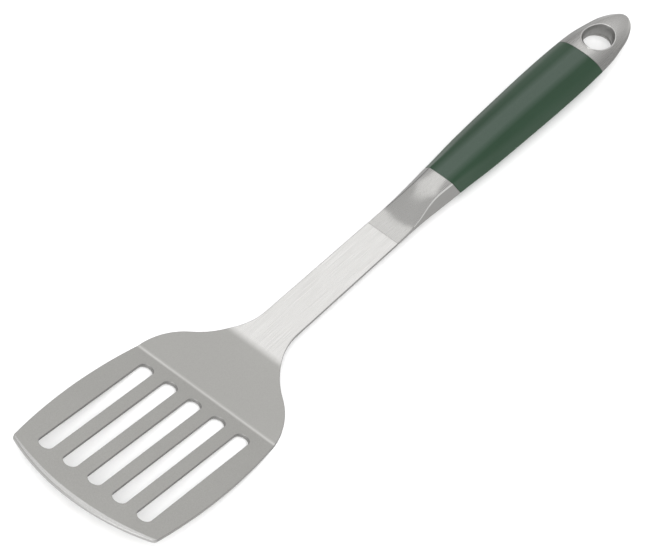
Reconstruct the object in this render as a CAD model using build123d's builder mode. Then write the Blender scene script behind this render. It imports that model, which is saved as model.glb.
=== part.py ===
"""Grill spatula: slotted stamped blade on a long shank, with a hollow-ended soft-grip handle.

Frame: millimetres, +Z up, +X from the blade towards the handle, Y across the tool.  The tool
lies as it does on a table, on the heel of the blade and on the belly of the handle, with the
blade's nose raised.  The origin is the bottom centre of its bounding box.
"""
import os
from math import copysign, cos, pi, radians, sin

from build123d import *

# ---------------------------------------------------------------- driving dimensions
SHEET = 1.8                  # thickness of blade, shank and tang
REST_PITCH = 8.65            # nose-up angle of the blade when the tool lies on a table
CREASE_X = -134.75           # where the heel of the blade touches the table

SLOT_COUNT = 5
SLOT_PITCH = 14.0
SLOT_LENGTH = 89.2
SLOT_WIDTH = 7.4
SLOT_CENTRE = -51.5          # from the crease, along the blade

NOSE = -111.6                # front apex of the blade, from the crease
CORNER = (-101.5, 40.5)      # where the front arc meets the side
SIDE_BULGE = (-51.5, 43.4)   # widest point of the blade
SHOULDER_START = (-0.4, 40.26)
SHOULDER_TURN = (22.9, 26.9)
SHOULDER_END = (59.0, 9.55)
SHOULDER_OUTER_RADIUS = 34.5
SHOULDER_INNER_RADIUS = 45.0
CORNER_RADIUS = 3.0
BEVEL_WIDTH = 2.6            # ground front edge, across the top face
BEVEL_DEPTH = 0.45
BEVEL_RADIUS = 100.0         # flatter than the front arc, so the bevel tapers
BEVEL_REACH = 8.0            # how far the grinding cut runs past its heel

SHOULDER_ANGLE = 17.6        # rises from the blade's plane
SHOULDER_LENGTH = 38.3
SHANK_ANGLE = 9.1
SHANK_LENGTH = 108.9
HANDLE_ANGLE = 9.6
CREASE_BEND = 7.0            # centreline bend radii
SHANK_BEND = 24.0
NECK_HALF_WIDTH = 9.2        # shank where it meets the ferrule

TANG_WIDE = 7.5              # half widths of the tang, in the ferrule and in the core
TANG_NARROW = 5.0
TANG_STEP = 26.0             # distances from the neck
TANG_TAPER = 4.0             # length of the change between the two widths
TANG_LEAD = 1.0              # how far the tang runs into the shank
TANG_LENGTH = 112.0
PIN_DIAMETER = 4.0
PIN_LENGTH = 11.0
PIN_STATIONS = (70.0, 98.0)

HANDLE_LENGTH = 233.0        # neck to tip
GRIP_FRONT = 54.6            # where the grip meets the ferrule, on the handle's axis
GRIP_REAR = 187.2            # where the grip meets the end cap
FRONT_LEAN = 0.75            # forward lean of those two joints, per mm of height
REAR_LEAN = 0.52
ROUNDNESS = 2.5              # superellipse exponent of the grip and cap sections
SECTION_POINTS = 24
CROWN_SPREAD = 0.6           # fullness of the ferrule's crown, as a share of the ridge

HOLE_STATION = 201.6         # hanging hole, from the neck
HOLE_MOUTH = (12.2, 7.9)     # half length and half width at the upper surface
HOLE_WAIST = (10.4, 7.0)     # at mid thickness
HOLE_FOOT = (10.4, 7.6)      # at the lower surface
HOLE_DRIFT = 3.0             # the foot is this much nearer to the tip than the mouth
HOLE_MOUTH_HEIGHT = 5.6
EYELET_WALL = 0.6
BEYOND = 90.0                # reach of stock and cutters past the piece they shape

# Ferrule sections: distance from the neck, half width, ridge (across, up), crown height
FERRULE_SECTIONS = (
    (0.0, 9.20, 9.00, 1.20, 1.20),
    (9.0, 9.28, 8.90, 1.35, 1.35),
    (14.0, 9.33, 8.70, 1.55, 2.15),
    (18.0, 9.40, 8.45, 2.00, 3.50),
    (22.0, 9.50, 8.00, 3.00, 4.95),
    (27.0, 9.67, 7.25, 4.85, 6.30),
    (33.0, 9.95, 6.72, 6.80, 7.35),
    (40.0, 10.30, 6.70, 7.45, 8.10),
    (49.0, 10.80, 7.10, 7.40, 8.55),
    (60.0, 11.35, 7.50, 7.15, 8.65),
)

# Grip and cap sections: distance from the neck, half width, half height
BODY_SECTIONS = (
    (40.0, 10.40, 8.20),
    (56.0, 11.20, 8.50),
    (76.0, 12.35, 8.80),
    (106.0, 13.50, 8.80),
    (136.0, 14.25, 8.30),
    (166.0, 14.60, 7.30),
    (186.0, 14.30, 6.45),
    (201.0, 13.30, 5.80),
    (212.0, 11.60, 5.20),
    (220.0, 9.80, 4.60),
    (226.0, 7.50, 3.90),
    (230.0, 5.15, 3.00),
    (232.2, 2.80, 1.90),
    (HANDLE_LENGTH, 1.00, 0.80),
)

# Core sections: distance from the neck, half width, half height
CORE_SECTIONS = (
    (40.0, 7.40, 5.00),
    (56.0, 8.80, 6.10),
    (76.0, 10.05, 6.50),
    (106.0, 11.20, 6.50),
    (136.0, 11.95, 6.00),
    (166.0, 12.30, 5.00),
    (186.0, 12.00, 4.15),
    (201.0, 11.00, 3.50),
    (211.0, 9.40, 3.00),
    (217.0, 7.60, 2.50),
)


# ---------------------------------------------------------------- frames
def tool_direction(angle):
    """Direction in the XZ plane that rises by angle from the blade's plane."""
    pitch = radians(angle - REST_PITCH)
    return Vector(cos(pitch), 0, sin(pitch))


CREASE = Vector(CREASE_X, 0, 0)
BLADE_PLANE = Plane(origin=CREASE, x_dir=tool_direction(0), z_dir=tool_direction(90))
SIDE_PLANE = Plane(origin=CREASE, x_dir=tool_direction(0), z_dir=(0, -1, 0))

BEND = CREASE + tool_direction(90) * (SHEET / 2) + tool_direction(SHOULDER_ANGLE) * SHOULDER_LENGTH
NECK = BEND + tool_direction(SHANK_ANGLE) * SHANK_LENGTH
AXIS = tool_direction(HANDLE_ANGLE)
UP = tool_direction(HANDLE_ANGLE + 90)
MID_PLANE = Plane(origin=NECK, x_dir=AXIS, z_dir=UP)


def station(distance):
    """Plane across the handle: local x is across the tool and local y is up."""
    return Plane(origin=NECK + AXIS * distance, x_dir=(0, 1, 0), z_dir=AXIS)


def joint_plane(distance, lean):
    """Leaning plane where the grip meets its neighbours; its normal points to the tip."""
    return Plane(origin=NECK + AXIS * distance, x_dir=(0, 1, 0), z_dir=AXIS + UP * lean)


def lying_at(distance, height):
    """Plane along the handle, at a height above its mid plane."""
    return Plane(origin=NECK + AXIS * distance + UP * height, x_dir=AXIS, z_dir=UP)


FRONT_JOINT = joint_plane(GRIP_FRONT, FRONT_LEAN)
REAR_JOINT = joint_plane(GRIP_REAR, REAR_LEAN)


# ---------------------------------------------------------------- shared forms
def superellipse(half_width, half_height):
    """Points of a superellipse, for one handle section."""
    points = []
    for step in range(SECTION_POINTS):
        angle = 2 * pi * step / SECTION_POINTS
        across = copysign(abs(cos(angle)) ** (2 / ROUNDNESS), cos(angle))
        height = copysign(abs(sin(angle)) ** (2 / ROUNDNESS), sin(angle))
        points.append((half_width * across, half_height * height))
    return points


def body_form(sections):
    """Smooth solid through superellipse sections along the handle."""
    with BuildPart() as form:
        for distance, half_width, half_height in sections:
            with BuildSketch(station(distance)):
                with BuildLine():
                    Spline(*superellipse(half_width, half_height), periodic=True)
                make_face()
        loft()
    return form.part


def ferrule_form(side):
    """Upper (1) or lower (-1) half of the ferrule's outside: a flat neck that swells into the
    handle, with a crowned face between two crisp ridges."""
    with BuildPart() as form:
        for distance, half_width, ridge, ridge_up, crown in FERRULE_SECTIONS:
            # the middle of a cubic is a quarter ends and three quarters inner points
            pull = side * (4 * crown - ridge_up) / 3
            ridge_up = side * ridge_up
            inner = ridge * CROWN_SPREAD
            with BuildSketch(station(distance)):
                with BuildLine():
                    Bezier((-ridge, ridge_up), (-inner, pull), (inner, pull), (ridge, ridge_up))
                    Polyline((ridge, ridge_up), (half_width, 0), (-half_width, 0), (-ridge, ridge_up))
                make_face()
        loft()
    return form.part


def hourglass(wall):
    """Waisted, leaning oval form through the end cap, larger all round by a wall."""
    waist_station = HOLE_STATION + HOLE_DRIFT / 2
    foot_station = HOLE_STATION + HOLE_DRIFT
    mouth = (1, HOLE_STATION, HOLE_MOUTH)
    foot = (-1, foot_station, HOLE_FOOT)
    with BuildPart() as form:
        for side, end_station, (half_length, half_width) in (mouth, foot):
            with BuildSketch(lying_at(end_station, side * HOLE_MOUTH_HEIGHT)) as opening:
                Ellipse(half_length + wall, half_width + wall)
            with BuildSketch(lying_at(waist_station, 0)):
                Ellipse(HOLE_WAIST[0] + wall, HOLE_WAIST[1] + wall)
            loft()
            extrude(opening.sketch, amount=HOLE_MOUTH_HEIGHT, dir=UP * side)
    return form.part


def tang_slot():
    """Space that the tang fills behind the neck."""
    with BuildPart() as form:
        with BuildSketch(MID_PLANE):
            with BuildLine():
                Polyline((-TANG_LEAD, 0), (-TANG_LEAD, TANG_WIDE), (TANG_STEP, TANG_WIDE),
                         (TANG_STEP + TANG_TAPER, TANG_NARROW), (TANG_LENGTH, TANG_NARROW),
                         (TANG_LENGTH, 0))
                mirror(about=SIDE_PLANE)
            make_face()
        extrude(amount=SHEET / 2, both=True)
    return form.part


def pin_holes():
    """Pins through the core and the tang, across the tang's faces."""
    with BuildPart() as form:
        with BuildSketch(MID_PLANE):
            with Locations(*[(distance, 0) for distance in PIN_STATIONS]):
                Circle(PIN_DIAMETER / 2)
        extrude(amount=PIN_LENGTH / 2, both=True)
    return form.part


BODY = body_form(BODY_SECTIONS)
CORE = body_form(CORE_SECTIONS)
TANG = tang_slot()
PINS = pin_holes()
EYELET_OUTER = hourglass(EYELET_WALL)
EYELET_INNER = hourglass(0)


# ---------------------------------------------------------------- blade, shank and tang
def bevel_wedge():
    """Ring whose sloping underside grinds the front edge, narrower towards the corners."""
    slope = BEVEL_DEPTH / BEVEL_WIDTH
    heel = NOSE + BEVEL_WIDTH
    cut_end = heel - BEVEL_REACH
    pivot = CREASE + tool_direction(0) * (heel + BEVEL_RADIUS)
    with BuildPart() as wedge:
        with BuildSketch(SIDE_PLANE):
            with BuildLine():
                Polyline((heel, SHEET), (cut_end, SHEET - BEVEL_REACH * slope),
                         (cut_end, 2 * SHEET), (heel, 2 * SHEET), close=True)
            make_face()
        revolve(axis=Axis(pivot, tool_direction(90)))
    return wedge.part


def make_blade():
    """One stamping: slotted blade, shoulder, shank and the tang inside the handle."""
    bend = SIDE_PLANE.to_local_coords(BEND)
    past_neck = SIDE_PLANE.to_local_coords(NECK + tool_direction(SHANK_ANGLE))
    with BuildPart() as blade:
        with BuildSketch(SIDE_PLANE):
            with BuildLine():
                FilletPolyline((NOSE - BEYOND, SHEET / 2), (0, SHEET / 2), (bend.X, bend.Y),
                               (past_neck.X, past_neck.Y), radius=(CREASE_BEND, SHANK_BEND))
            trace(line_width=SHEET)
        extrude(amount=BEYOND, both=True)
        with BuildSketch(BLADE_PLANE) as outline:
            with BuildLine():
                ThreePointArc((CORNER[0], -CORNER[1]), (NOSE, 0), CORNER)
                ThreePointArc(CORNER, SIDE_BULGE, SHOULDER_START)
                RadiusArc(SHOULDER_START, SHOULDER_TURN, SHOULDER_OUTER_RADIUS)
                RadiusArc(SHOULDER_TURN, SHOULDER_END, -SHOULDER_INNER_RADIUS)
                Polyline(SHOULDER_END, (past_neck.X, NECK_HALF_WIDTH), (past_neck.X, 0))
                mirror(about=Plane.XZ)
            make_face()
            fillet(outline.vertices().group_by(Axis.X)[0], radius=CORNER_RADIUS)
        extrude(amount=BEYOND, both=True, mode=Mode.INTERSECT)
        split(bisect_by=station(0), keep=Keep.BOTTOM)
        add(TANG)
        with BuildSketch(BLADE_PLANE):
            with Locations((SLOT_CENTRE, 0)):
                with GridLocations(0, SLOT_PITCH, 1, SLOT_COUNT):
                    SlotOverall(SLOT_LENGTH, SLOT_WIDTH)
        extrude(amount=SHEET, both=True, mode=Mode.SUBTRACT)
        add(PINS, mode=Mode.SUBTRACT)
        add(bevel_wedge(), mode=Mode.SUBTRACT)
    return blade.part


# ---------------------------------------------------------------- ferrule
def make_ferrule_half(side):
    """Upper (1) or lower (-1) half of the ferrule, closed round the tang and the core's end."""
    with BuildPart() as ferrule:
        add(ferrule_form(side))
        split(bisect_by=FRONT_JOINT, keep=Keep.BOTTOM)
        add(TANG, mode=Mode.SUBTRACT)
        add(CORE, mode=Mode.SUBTRACT)
    return ferrule.part


# ---------------------------------------------------------------- core, pins and grip
def make_core():
    """Nylon core over the tang; its ends fill the ferrule and the cap."""
    with BuildPart() as core:
        add(CORE)
        add(TANG, mode=Mode.SUBTRACT)
        add(PINS, mode=Mode.SUBTRACT)
        add(EYELET_OUTER, mode=Mode.SUBTRACT)
    return core.part


def make_grip():
    """Soft sleeve over the core, with both ends leaning towards the blade."""
    with BuildPart() as grip:
        add(BODY)
        split(bisect_by=FRONT_JOINT, keep=Keep.TOP)
        split(bisect_by=REAR_JOINT, keep=Keep.BOTTOM)
        add(CORE, mode=Mode.SUBTRACT)
    return grip.part


# ---------------------------------------------------------------- end cap and eyelet
def make_cap_half(keep):
    """Upper or lower half shell of the end cap, clamped by the eyelet."""
    with BuildPart() as cap:
        add(BODY)
        split(bisect_by=REAR_JOINT, keep=Keep.TOP)
        add(CORE, mode=Mode.SUBTRACT)
        add(EYELET_OUTER, mode=Mode.SUBTRACT)
        split(bisect_by=MID_PLANE, keep=keep)
    return cap.part


def make_eyelet():
    """Oval eyelet flared at both ends, flush with the cap; the tool hangs from it."""
    with BuildPart() as eyelet:
        add(EYELET_OUTER)
        add(BODY, mode=Mode.INTERSECT)
        add(EYELET_INNER, mode=Mode.SUBTRACT)
    return eyelet.part


# ---------------------------------------------------------------- pieces
os.makedirs("parts", exist_ok=True)
pieces = {
    "blade": make_blade(),
    "ferrule_upper": make_ferrule_half(1),
    "ferrule_lower": make_ferrule_half(-1),
    "handle_core": make_core(),
    "tang_pins": PINS,
    "grip_sleeve": make_grip(),
    "cap_upper": make_cap_half(Keep.TOP),
    "cap_lower": make_cap_half(Keep.BOTTOM),
    "hang_eyelet": make_eyelet(),
}
for name, piece in pieces.items():
    piece.label = name
    export_step(piece, f"parts/{name}.step")
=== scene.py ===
"""Looks of the grill spatula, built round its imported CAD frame.

Shapes are worked out in millimetres in the row frame (+Z up, +X from the blade towards the
handle, Y across the tool) and turned into metres when a mesh is made.
"""
import math
from collections import namedtuple

import bmesh
import bpy
import numpy as np
from mathutils import Matrix, Vector
from mathutils.geometry import delaunay_2d_cdt


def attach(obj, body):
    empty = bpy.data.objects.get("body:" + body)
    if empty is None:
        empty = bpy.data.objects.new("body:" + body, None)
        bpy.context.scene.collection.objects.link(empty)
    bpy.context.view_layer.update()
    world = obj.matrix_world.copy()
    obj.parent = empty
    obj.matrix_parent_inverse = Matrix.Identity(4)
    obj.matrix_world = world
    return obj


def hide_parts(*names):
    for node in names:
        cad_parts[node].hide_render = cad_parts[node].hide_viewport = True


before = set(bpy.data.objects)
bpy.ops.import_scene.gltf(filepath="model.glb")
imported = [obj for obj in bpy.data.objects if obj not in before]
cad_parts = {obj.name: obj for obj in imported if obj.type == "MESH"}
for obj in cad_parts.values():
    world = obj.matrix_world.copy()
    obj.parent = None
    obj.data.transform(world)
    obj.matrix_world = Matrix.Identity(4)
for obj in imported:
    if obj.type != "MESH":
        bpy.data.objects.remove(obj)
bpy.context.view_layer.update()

MM = 0.001
JOIN_GAP = 0.002             # points nearer than this are one point, in mm
TINY = 1e-6

# ---------- driving dimensions, in mm
SHEET = 1.8                  # thickness of blade, shank and tang
REST_PITCH = 8.65            # nose-up angle of the blade at rest, in degrees
CREASE_X = -134.75           # where the heel of the blade touches the floor

SLOT_COUNT = 5
SLOT_PITCH = 14.0
SLOT_LENGTH = 89.2
SLOT_WIDTH = 7.4
SLOT_CENTRE = -51.5          # from the crease, along the blade

NOSE = -111.6
CORNER = (-101.5, 40.5)
SIDE_BULGE = (-51.5, 43.4)
SHOULDER_START = (-0.4, 40.26)
SHOULDER_TURN = (22.9, 26.9)
SHOULDER_END = (59.0, 9.55)
SHOULDER_OUTER_RADIUS = 34.5
SHOULDER_INNER_RADIUS = 45.0
CORNER_TRIM = 1.57           # how much of each arc the rounded corner takes
BEVEL_WIDTH = 2.6
BEVEL_DEPTH = 0.45
BEVEL_RADIUS = 100.0
EDGE_ROUND = 0.25            # tumbled edges of the sheet

SHOULDER_ANGLE = 17.6
SHOULDER_LENGTH = 38.3
SHANK_ANGLE = 9.1
SHANK_LENGTH = 108.9
HANDLE_ANGLE = 9.6
CREASE_BEND = 7.0            # centreline bend radii
SHANK_BEND = 24.0
NECK_HALF_WIDTH = 9.2
TANG_WIDE = 7.5
TANG_NARROW = 5.0
TANG_STEP = 26.0
TANG_TAPER = 4.0
TANG_LENGTH = 112.0

HANDLE_LENGTH = 233.0
GRIP_FRONT = 54.6
GRIP_REAR = 187.2
FRONT_LEAN = 0.75
REAR_LEAN = 0.52
SHELL = 2.0                  # wall of the grip and the cap
FERRULE_WALL = 1.0
FERRULE_NECK_WALL = 0.08
TANG_CLEARANCE = 0.92        # half height of the ferrule's inside over the tang
SEAM_ROUND = 0.3             # edges of the leaning joints
TIP_START = 213.0            # from here the outline rounds off to the tip

HOLE_STATION = 201.6
HOLE_MOUTH = (12.2, 7.9)     # half length and half width
HOLE_WAIST = (10.4, 7.0)
HOLE_FOOT = (10.4, 7.6)
HOLE_DRIFT = 3.0             # the foot is this much nearer to the tip than the mouth
EYELET_WALL = 0.6
EYELET_BEAD = 0.18           # how far the rolled lip stands proud of the cap

# Handle sections: distance from the neck, half width, ridge (across, up), crown, power of the
# crown's curve, softness of the top ridges, softness of the side ridge
HANDLE_SECTIONS = np.array((
    (0, 9.20, 9.00, 1.00, 1.00, 2.2, 0.20, 0.15),
    (9, 9.28, 8.90, 1.25, 1.20, 2.2, 0.25, 0.20),
    (14, 9.33, 8.70, 1.50, 2.10, 2.4, 0.35, 0.25),
    (18, 9.40, 8.45, 2.00, 3.50, 2.6, 0.45, 0.30),
    (22, 9.50, 8.00, 3.00, 4.95, 2.8, 0.55, 0.35),
    (27, 9.67, 7.25, 4.85, 6.30, 3.0, 0.60, 0.40),
    (33, 9.95, 6.72, 6.80, 7.35, 3.0, 0.60, 0.45),
    (40, 10.30, 6.70, 7.45, 8.10, 3.0, 0.60, 0.50),
    (49, 10.80, 7.10, 7.40, 8.55, 2.8, 0.70, 0.60),
    (60, 11.35, 7.50, 7.15, 8.65, 2.5, 0.90, 0.80),
    (76, 12.40, 8.30, 6.60, 8.80, 2.2, 1.00, 1.00),
    (106, 13.55, 9.60, 5.90, 8.80, 2.2, 1.20, 1.20),
    (136, 14.30, 10.80, 5.00, 8.30, 2.2, 1.30, 1.20),
    (166, 14.65, 11.70, 3.80, 7.30, 2.3, 1.30, 1.20),
    (186, 14.30, 12.00, 2.90, 6.40, 2.8, 1.40, 1.20),
    (201, 13.30, 11.40, 2.30, 5.70, 4.0, 1.50, 1.10),
    (TIP_START, 11.40, 9.70, 1.90, 4.90, 3.6, 1.50, 1.00),
    (221, 10.35, 8.70, 1.75, 4.60, 3.0, 1.40, 0.90),
    (227, 9.80, 8.10, 1.80, 4.75, 2.6, 1.30, 0.90),
    (HANDLE_LENGTH, 9.60, 7.80, 2.20, 5.20, 2.4, 1.20, 0.90),
))


# ---------- tool frame
def direction(angle):
    """Unit vector in the XZ plane, at an angle from the blade's plane."""
    pitch = math.radians(angle - REST_PITCH)
    return np.array((math.cos(pitch), 0, math.sin(pitch)))


CREASE = np.array((CREASE_X, 0, 0))
BEND = CREASE + direction(90) * SHEET / 2 + direction(SHOULDER_ANGLE) * SHOULDER_LENGTH
NECK = BEND + direction(SHANK_ANGLE) * SHANK_LENGTH
AXIS = direction(HANDLE_ANGLE)
UP = direction(HANDLE_ANGLE + 90)


def handle_point(distance, across, height):
    """Row-frame points from handle coordinates."""
    return (NECK + np.multiply.outer(distance, AXIS) + np.multiply.outer(height, UP)
            + np.multiply.outer(across, (0, 1, 0)))


# ---------- meshes
def close_up(mesh):
    """Joins points that coincide, drops faces without area and turns the rest outwards."""
    work = bmesh.new()
    work.from_mesh(mesh)
    bmesh.ops.remove_doubles(work, verts=work.verts, dist=JOIN_GAP * MM)
    bmesh.ops.dissolve_degenerate(work, edges=work.edges, dist=JOIN_GAP * MM)
    bmesh.ops.recalc_face_normals(work, faces=work.faces)
    work.to_mesh(mesh)
    work.free()


def add_mesh(name, node, points, faces, materials, indices=None, normals=None, sharp=None):
    """A smooth-shaded piece from points in mm, which rides on the root body and stands for a CAD
    node. Without its own normals, edges over the sharp angle stay sharp."""
    mesh = bpy.data.meshes.new(name)
    mesh.from_pydata((np.asarray(points) * MM).tolist(), [], faces)
    for material in materials:
        mesh.materials.append(material)
    if indices is not None:
        mesh.polygons.foreach_set("material_index", indices)
    mesh.shade_smooth()
    if normals is None:
        close_up(mesh)
        mesh.set_sharp_from_angle(angle=math.radians(sharp))
    else:
        mesh.normals_split_custom_set(normals)
    piece = bpy.data.objects.new(name, mesh)
    bpy.context.scene.collection.objects.link(piece)
    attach(piece, "root")
    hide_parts(node)
    return piece


def strip_faces(first, second, closed=False, flip=False):
    """Quads between two lists of point numbers."""
    faces = []
    count = len(first)
    for k in range(count if closed else count - 1):
        n = (k + 1) % count
        face = (first[k], first[n], second[n], second[k])
        faces.append(face[::-1] if flip else face)
    return faces


def grid_faces(rows, columns, start=0, closed=False, flip=False):
    """Quads between rows of points; closed joins each row's last point to its first."""
    faces = []
    for row in range(rows - 1):
        first = range(start + row * columns, start + (row + 1) * columns)
        faces += strip_faces(first, [n + columns for n in first], closed, flip)
    return faces


# ---------- sheet metal: the bent centreline
def bend_tangent(radius, turn):
    return radius * math.tan(math.radians(turn) / 2)


CREASE_TANGENT = bend_tangent(CREASE_BEND, SHOULDER_ANGLE)
SHANK_TANGENT = bend_tangent(SHANK_BEND, SHOULDER_ANGLE - SHANK_ANGLE)
SINE = {angle: math.sin(math.radians(angle)) for angle in (SHOULDER_ANGLE, SHANK_ANGLE)}
COSINE = {angle: math.cos(math.radians(angle)) for angle in (SHOULDER_ANGLE, SHANK_ANGLE)}
CREASE_ZONE = (-CREASE_TANGENT, CREASE_TANGENT * COSINE[SHOULDER_ANGLE])
SHANK_ZONE_START = (SHOULDER_LENGTH - SHANK_TANGENT) * COSINE[SHOULDER_ANGLE]
SHANK_ZONE = (SHANK_ZONE_START,
              SHANK_ZONE_START + SHANK_BEND * (SINE[SHOULDER_ANGLE] - SINE[SHANK_ANGLE]))
NECK_X = (SHOULDER_LENGTH * COSINE[SHOULDER_ANGLE] + SHANK_LENGTH * COSINE[SHANK_ANGLE])
TANG_END_X = NECK_X + TANG_LENGTH * math.cos(math.radians(HANDLE_ANGLE))


def sheet_slope(x):
    """Angle of the sheet's centreline over plan distance x from the crease, in radians."""
    if x <= CREASE_ZONE[0]:
        return 0.0
    if x < CREASE_ZONE[1]:
        return math.asin((x - CREASE_ZONE[0]) / CREASE_BEND)
    if x <= SHANK_ZONE[0]:
        return math.radians(SHOULDER_ANGLE)
    if x < SHANK_ZONE[1]:
        return math.asin(SINE[SHOULDER_ANGLE] - (x - SHANK_ZONE[0]) / SHANK_BEND)
    return math.radians(SHANK_ANGLE if x < NECK_X else HANDLE_ANGLE)


def sheet_height(x):
    """Height of the sheet's centreline over the blade's underside plane."""
    height = SHEET / 2
    if x <= CREASE_ZONE[0]:
        return height
    slope = sheet_slope(x)
    if x < CREASE_ZONE[1]:
        return height + CREASE_BEND * (1 - math.cos(slope))
    if x <= SHANK_ZONE[0]:
        return height + x * math.tan(slope)
    bend_start = height + SHANK_ZONE[0] * math.tan(math.radians(SHOULDER_ANGLE))
    if x < SHANK_ZONE[1]:
        return bend_start + SHANK_BEND * (math.cos(slope) - COSINE[SHOULDER_ANGLE])
    bend_end = bend_start + SHANK_BEND * (COSINE[SHANK_ANGLE] - COSINE[SHOULDER_ANGLE])
    shank_slope = math.tan(math.radians(SHANK_ANGLE))
    if x <= NECK_X:
        return bend_end + (x - SHANK_ZONE[1]) * shank_slope
    return (bend_end + (NECK_X - SHANK_ZONE[1]) * shank_slope
            + (x - NECK_X) * math.tan(math.radians(HANDLE_ANGLE)))


def sheet_point(x, y, off):
    """Row-frame point of the sheet at plan (x, y), off the centreline along its normal."""
    slope = sheet_slope(x)
    along = x - off * math.sin(slope)
    height = sheet_height(x) + off * math.cos(slope)
    return CREASE + direction(0) * along + direction(90) * height + np.array((0, y, 0))


def sheet_vector(x, along, across, up):
    """Row-frame vector from the sheet's own directions at plan x."""
    slope = math.degrees(sheet_slope(x))
    return direction(slope) * along + np.array((0, across, 0)) + direction(slope + 90) * up


# ---------- sheet metal: the outline
def arc_through(start, middle, end, count):
    """Points on the arc through three points."""
    (ax, ay), (bx, by), (cx, cy) = start, middle, end
    d = 2 * (ax * (by - cy) + bx * (cy - ay) + cx * (ay - by))
    a2, b2, c2 = ax * ax + ay * ay, bx * bx + by * by, cx * cx + cy * cy
    centre = ((a2 * (by - cy) + b2 * (cy - ay) + c2 * (ay - by)) / d,
              (a2 * (cx - bx) + b2 * (ax - cx) + c2 * (bx - ax)) / d)
    return arc_about(centre, start, end, count)


def arc_about(centre, start, end, count):
    """Points on the shorter arc about a centre."""
    first = math.atan2(start[1] - centre[1], start[0] - centre[0])
    last = math.atan2(end[1] - centre[1], end[0] - centre[0])
    turn = (last - first + math.pi) % (2 * math.pi) - math.pi
    radius = math.dist(centre, start)
    angles = first + turn * np.linspace(0, 1, count + 1)
    return [(centre[0] + radius * math.cos(a), centre[1] + radius * math.sin(a)) for a in angles]


def arc_of_radius(start, end, radius, count):
    """Arc between two points; its centre is on the right of the way for a positive radius."""
    chord = np.subtract(end, start)
    length = np.linalg.norm(chord)
    right = np.array((chord[1], -chord[0])) / length * math.copysign(1, radius)
    centre = np.add(start, end) / 2 + right * math.sqrt(radius ** 2 - length ** 2 / 4)
    return arc_about(tuple(centre), start, end, count)


def trim(points, distance):
    """Drops a distance from the end of a polyline."""
    points = list(points)
    while math.dist(points[-1], points[-2]) < distance:
        distance -= math.dist(points[-1], points[-2])
        points.pop()
    share = distance / math.dist(points[-1], points[-2])
    points[-1] = tuple(np.add(points[-1], np.subtract(points[-2], points[-1]) * share))
    return points


def rounded(before, corner, after, count):
    """A smooth corner between the ends of two runs."""
    curve = []
    for t in np.linspace(0, 1, count + 1)[1:-1]:
        point = (np.multiply(before, (1 - t) ** 2) + np.multiply(corner, 2 * t * (1 - t))
                 + np.multiply(after, t * t))
        curve.append(tuple(point))
    return curve


def with_stations(points, stations):
    """The polyline with a point added wherever it passes one of these x stations."""
    result = [points[0]]
    for a, b in zip(points, points[1:]):
        between = [s for s in stations if min(a[0], b[0]) + TINY < s < max(a[0], b[0]) - TINY]
        for s in sorted(between, reverse=bool(b[0] < a[0])):
            share = (s - a[0]) / (b[0] - a[0])
            result.append((s, a[1] + (b[1] - a[1]) * share))
        result.append(b)
    return result


BEVEL_PIVOT = NOSE + BEVEL_WIDTH + BEVEL_RADIUS


def bevel_heel(y):
    """Plan x of the line where the ground front edge begins."""
    return BEVEL_PIVOT - math.sqrt(BEVEL_RADIUS ** 2 - y * y)


def bevel_depth(x, y):
    """How far grinding lowers the upper face."""
    before = math.hypot(x - BEVEL_PIVOT, y) - BEVEL_RADIUS
    return max(0.0, before) * BEVEL_DEPTH / BEVEL_WIDTH if x < BEVEL_PIVOT else 0.0


def with_bevel_ends(points):
    """The polyline with a point added where the bevel's heel meets it."""
    result = [points[0]]
    for a, b in zip(points, points[1:]):
        before, after = a[0] - bevel_heel(a[1]), b[0] - bevel_heel(b[1])
        if before < 0 < after:
            result.append(tuple(np.add(a, np.subtract(b, a) * before / (before - after))))
        result.append(b)
    return result


# Numbers of steps round the outline, and of stations across the two bends
FRONT_STEPS, SIDE_STEPS, CORNER_STEPS, SHOULDER_STEPS, SLOT_END_STEPS = 60, 36, 8, 18, 10
CREASE_STATIONS, SHANK_STATIONS = 9, 7
NECK_STEP = 0.4              # length over which the shank narrows to the tang
BEND_STATIONS = [*np.linspace(*CREASE_ZONE, CREASE_STATIONS),
                 *np.linspace(*SHANK_ZONE, SHANK_STATIONS), NECK_X]


def half_outline():
    """One side of the stamping, from the nose to the end of the tang."""
    front = arc_through((CORNER[0], -CORNER[1]), (NOSE, 0), CORNER, FRONT_STEPS)
    front = [p for p in trim(front, CORNER_TRIM) if p[1] >= -TINY]
    side = arc_through(CORNER, SIDE_BULGE, SHOULDER_START, SIDE_STEPS)
    side = trim(side[::-1], CORNER_TRIM)[::-1]
    outline = front + rounded(front[-1], CORNER, side[0], CORNER_STEPS) + side
    outline += arc_of_radius(SHOULDER_START, SHOULDER_TURN, SHOULDER_OUTER_RADIUS,
                             SHOULDER_STEPS)[1:]
    outline += arc_of_radius(SHOULDER_TURN, SHOULDER_END, -SHOULDER_INNER_RADIUS,
                             SHOULDER_STEPS)[1:]
    step = NECK_X + TANG_STEP
    outline += [(NECK_X, NECK_HALF_WIDTH), (NECK_X + NECK_STEP, TANG_WIDE), (step, TANG_WIDE),
                (step + TANG_TAPER, TANG_NARROW), (TANG_END_X, TANG_NARROW)]
    return with_stations(with_bevel_ends(outline), BEND_STATIONS)


def slot_loop(centre_y):
    """Rounded slot, clockwise so that the metal is on its left."""
    radius = SLOT_WIDTH / 2
    reach = SLOT_LENGTH / 2 - radius
    loop = []
    for side, start in ((1, math.pi / 2), (-1, -math.pi / 2)):
        for angle in start - np.linspace(0, math.pi, SLOT_END_STEPS + 1):
            loop.append((SLOT_CENTRE + side * reach + radius * math.cos(angle),
                         centre_y + radius * math.sin(angle)))
    return loop


SHARPEST_MITRE = 0.5         # keeps the mitre at a sharp corner short


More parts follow.
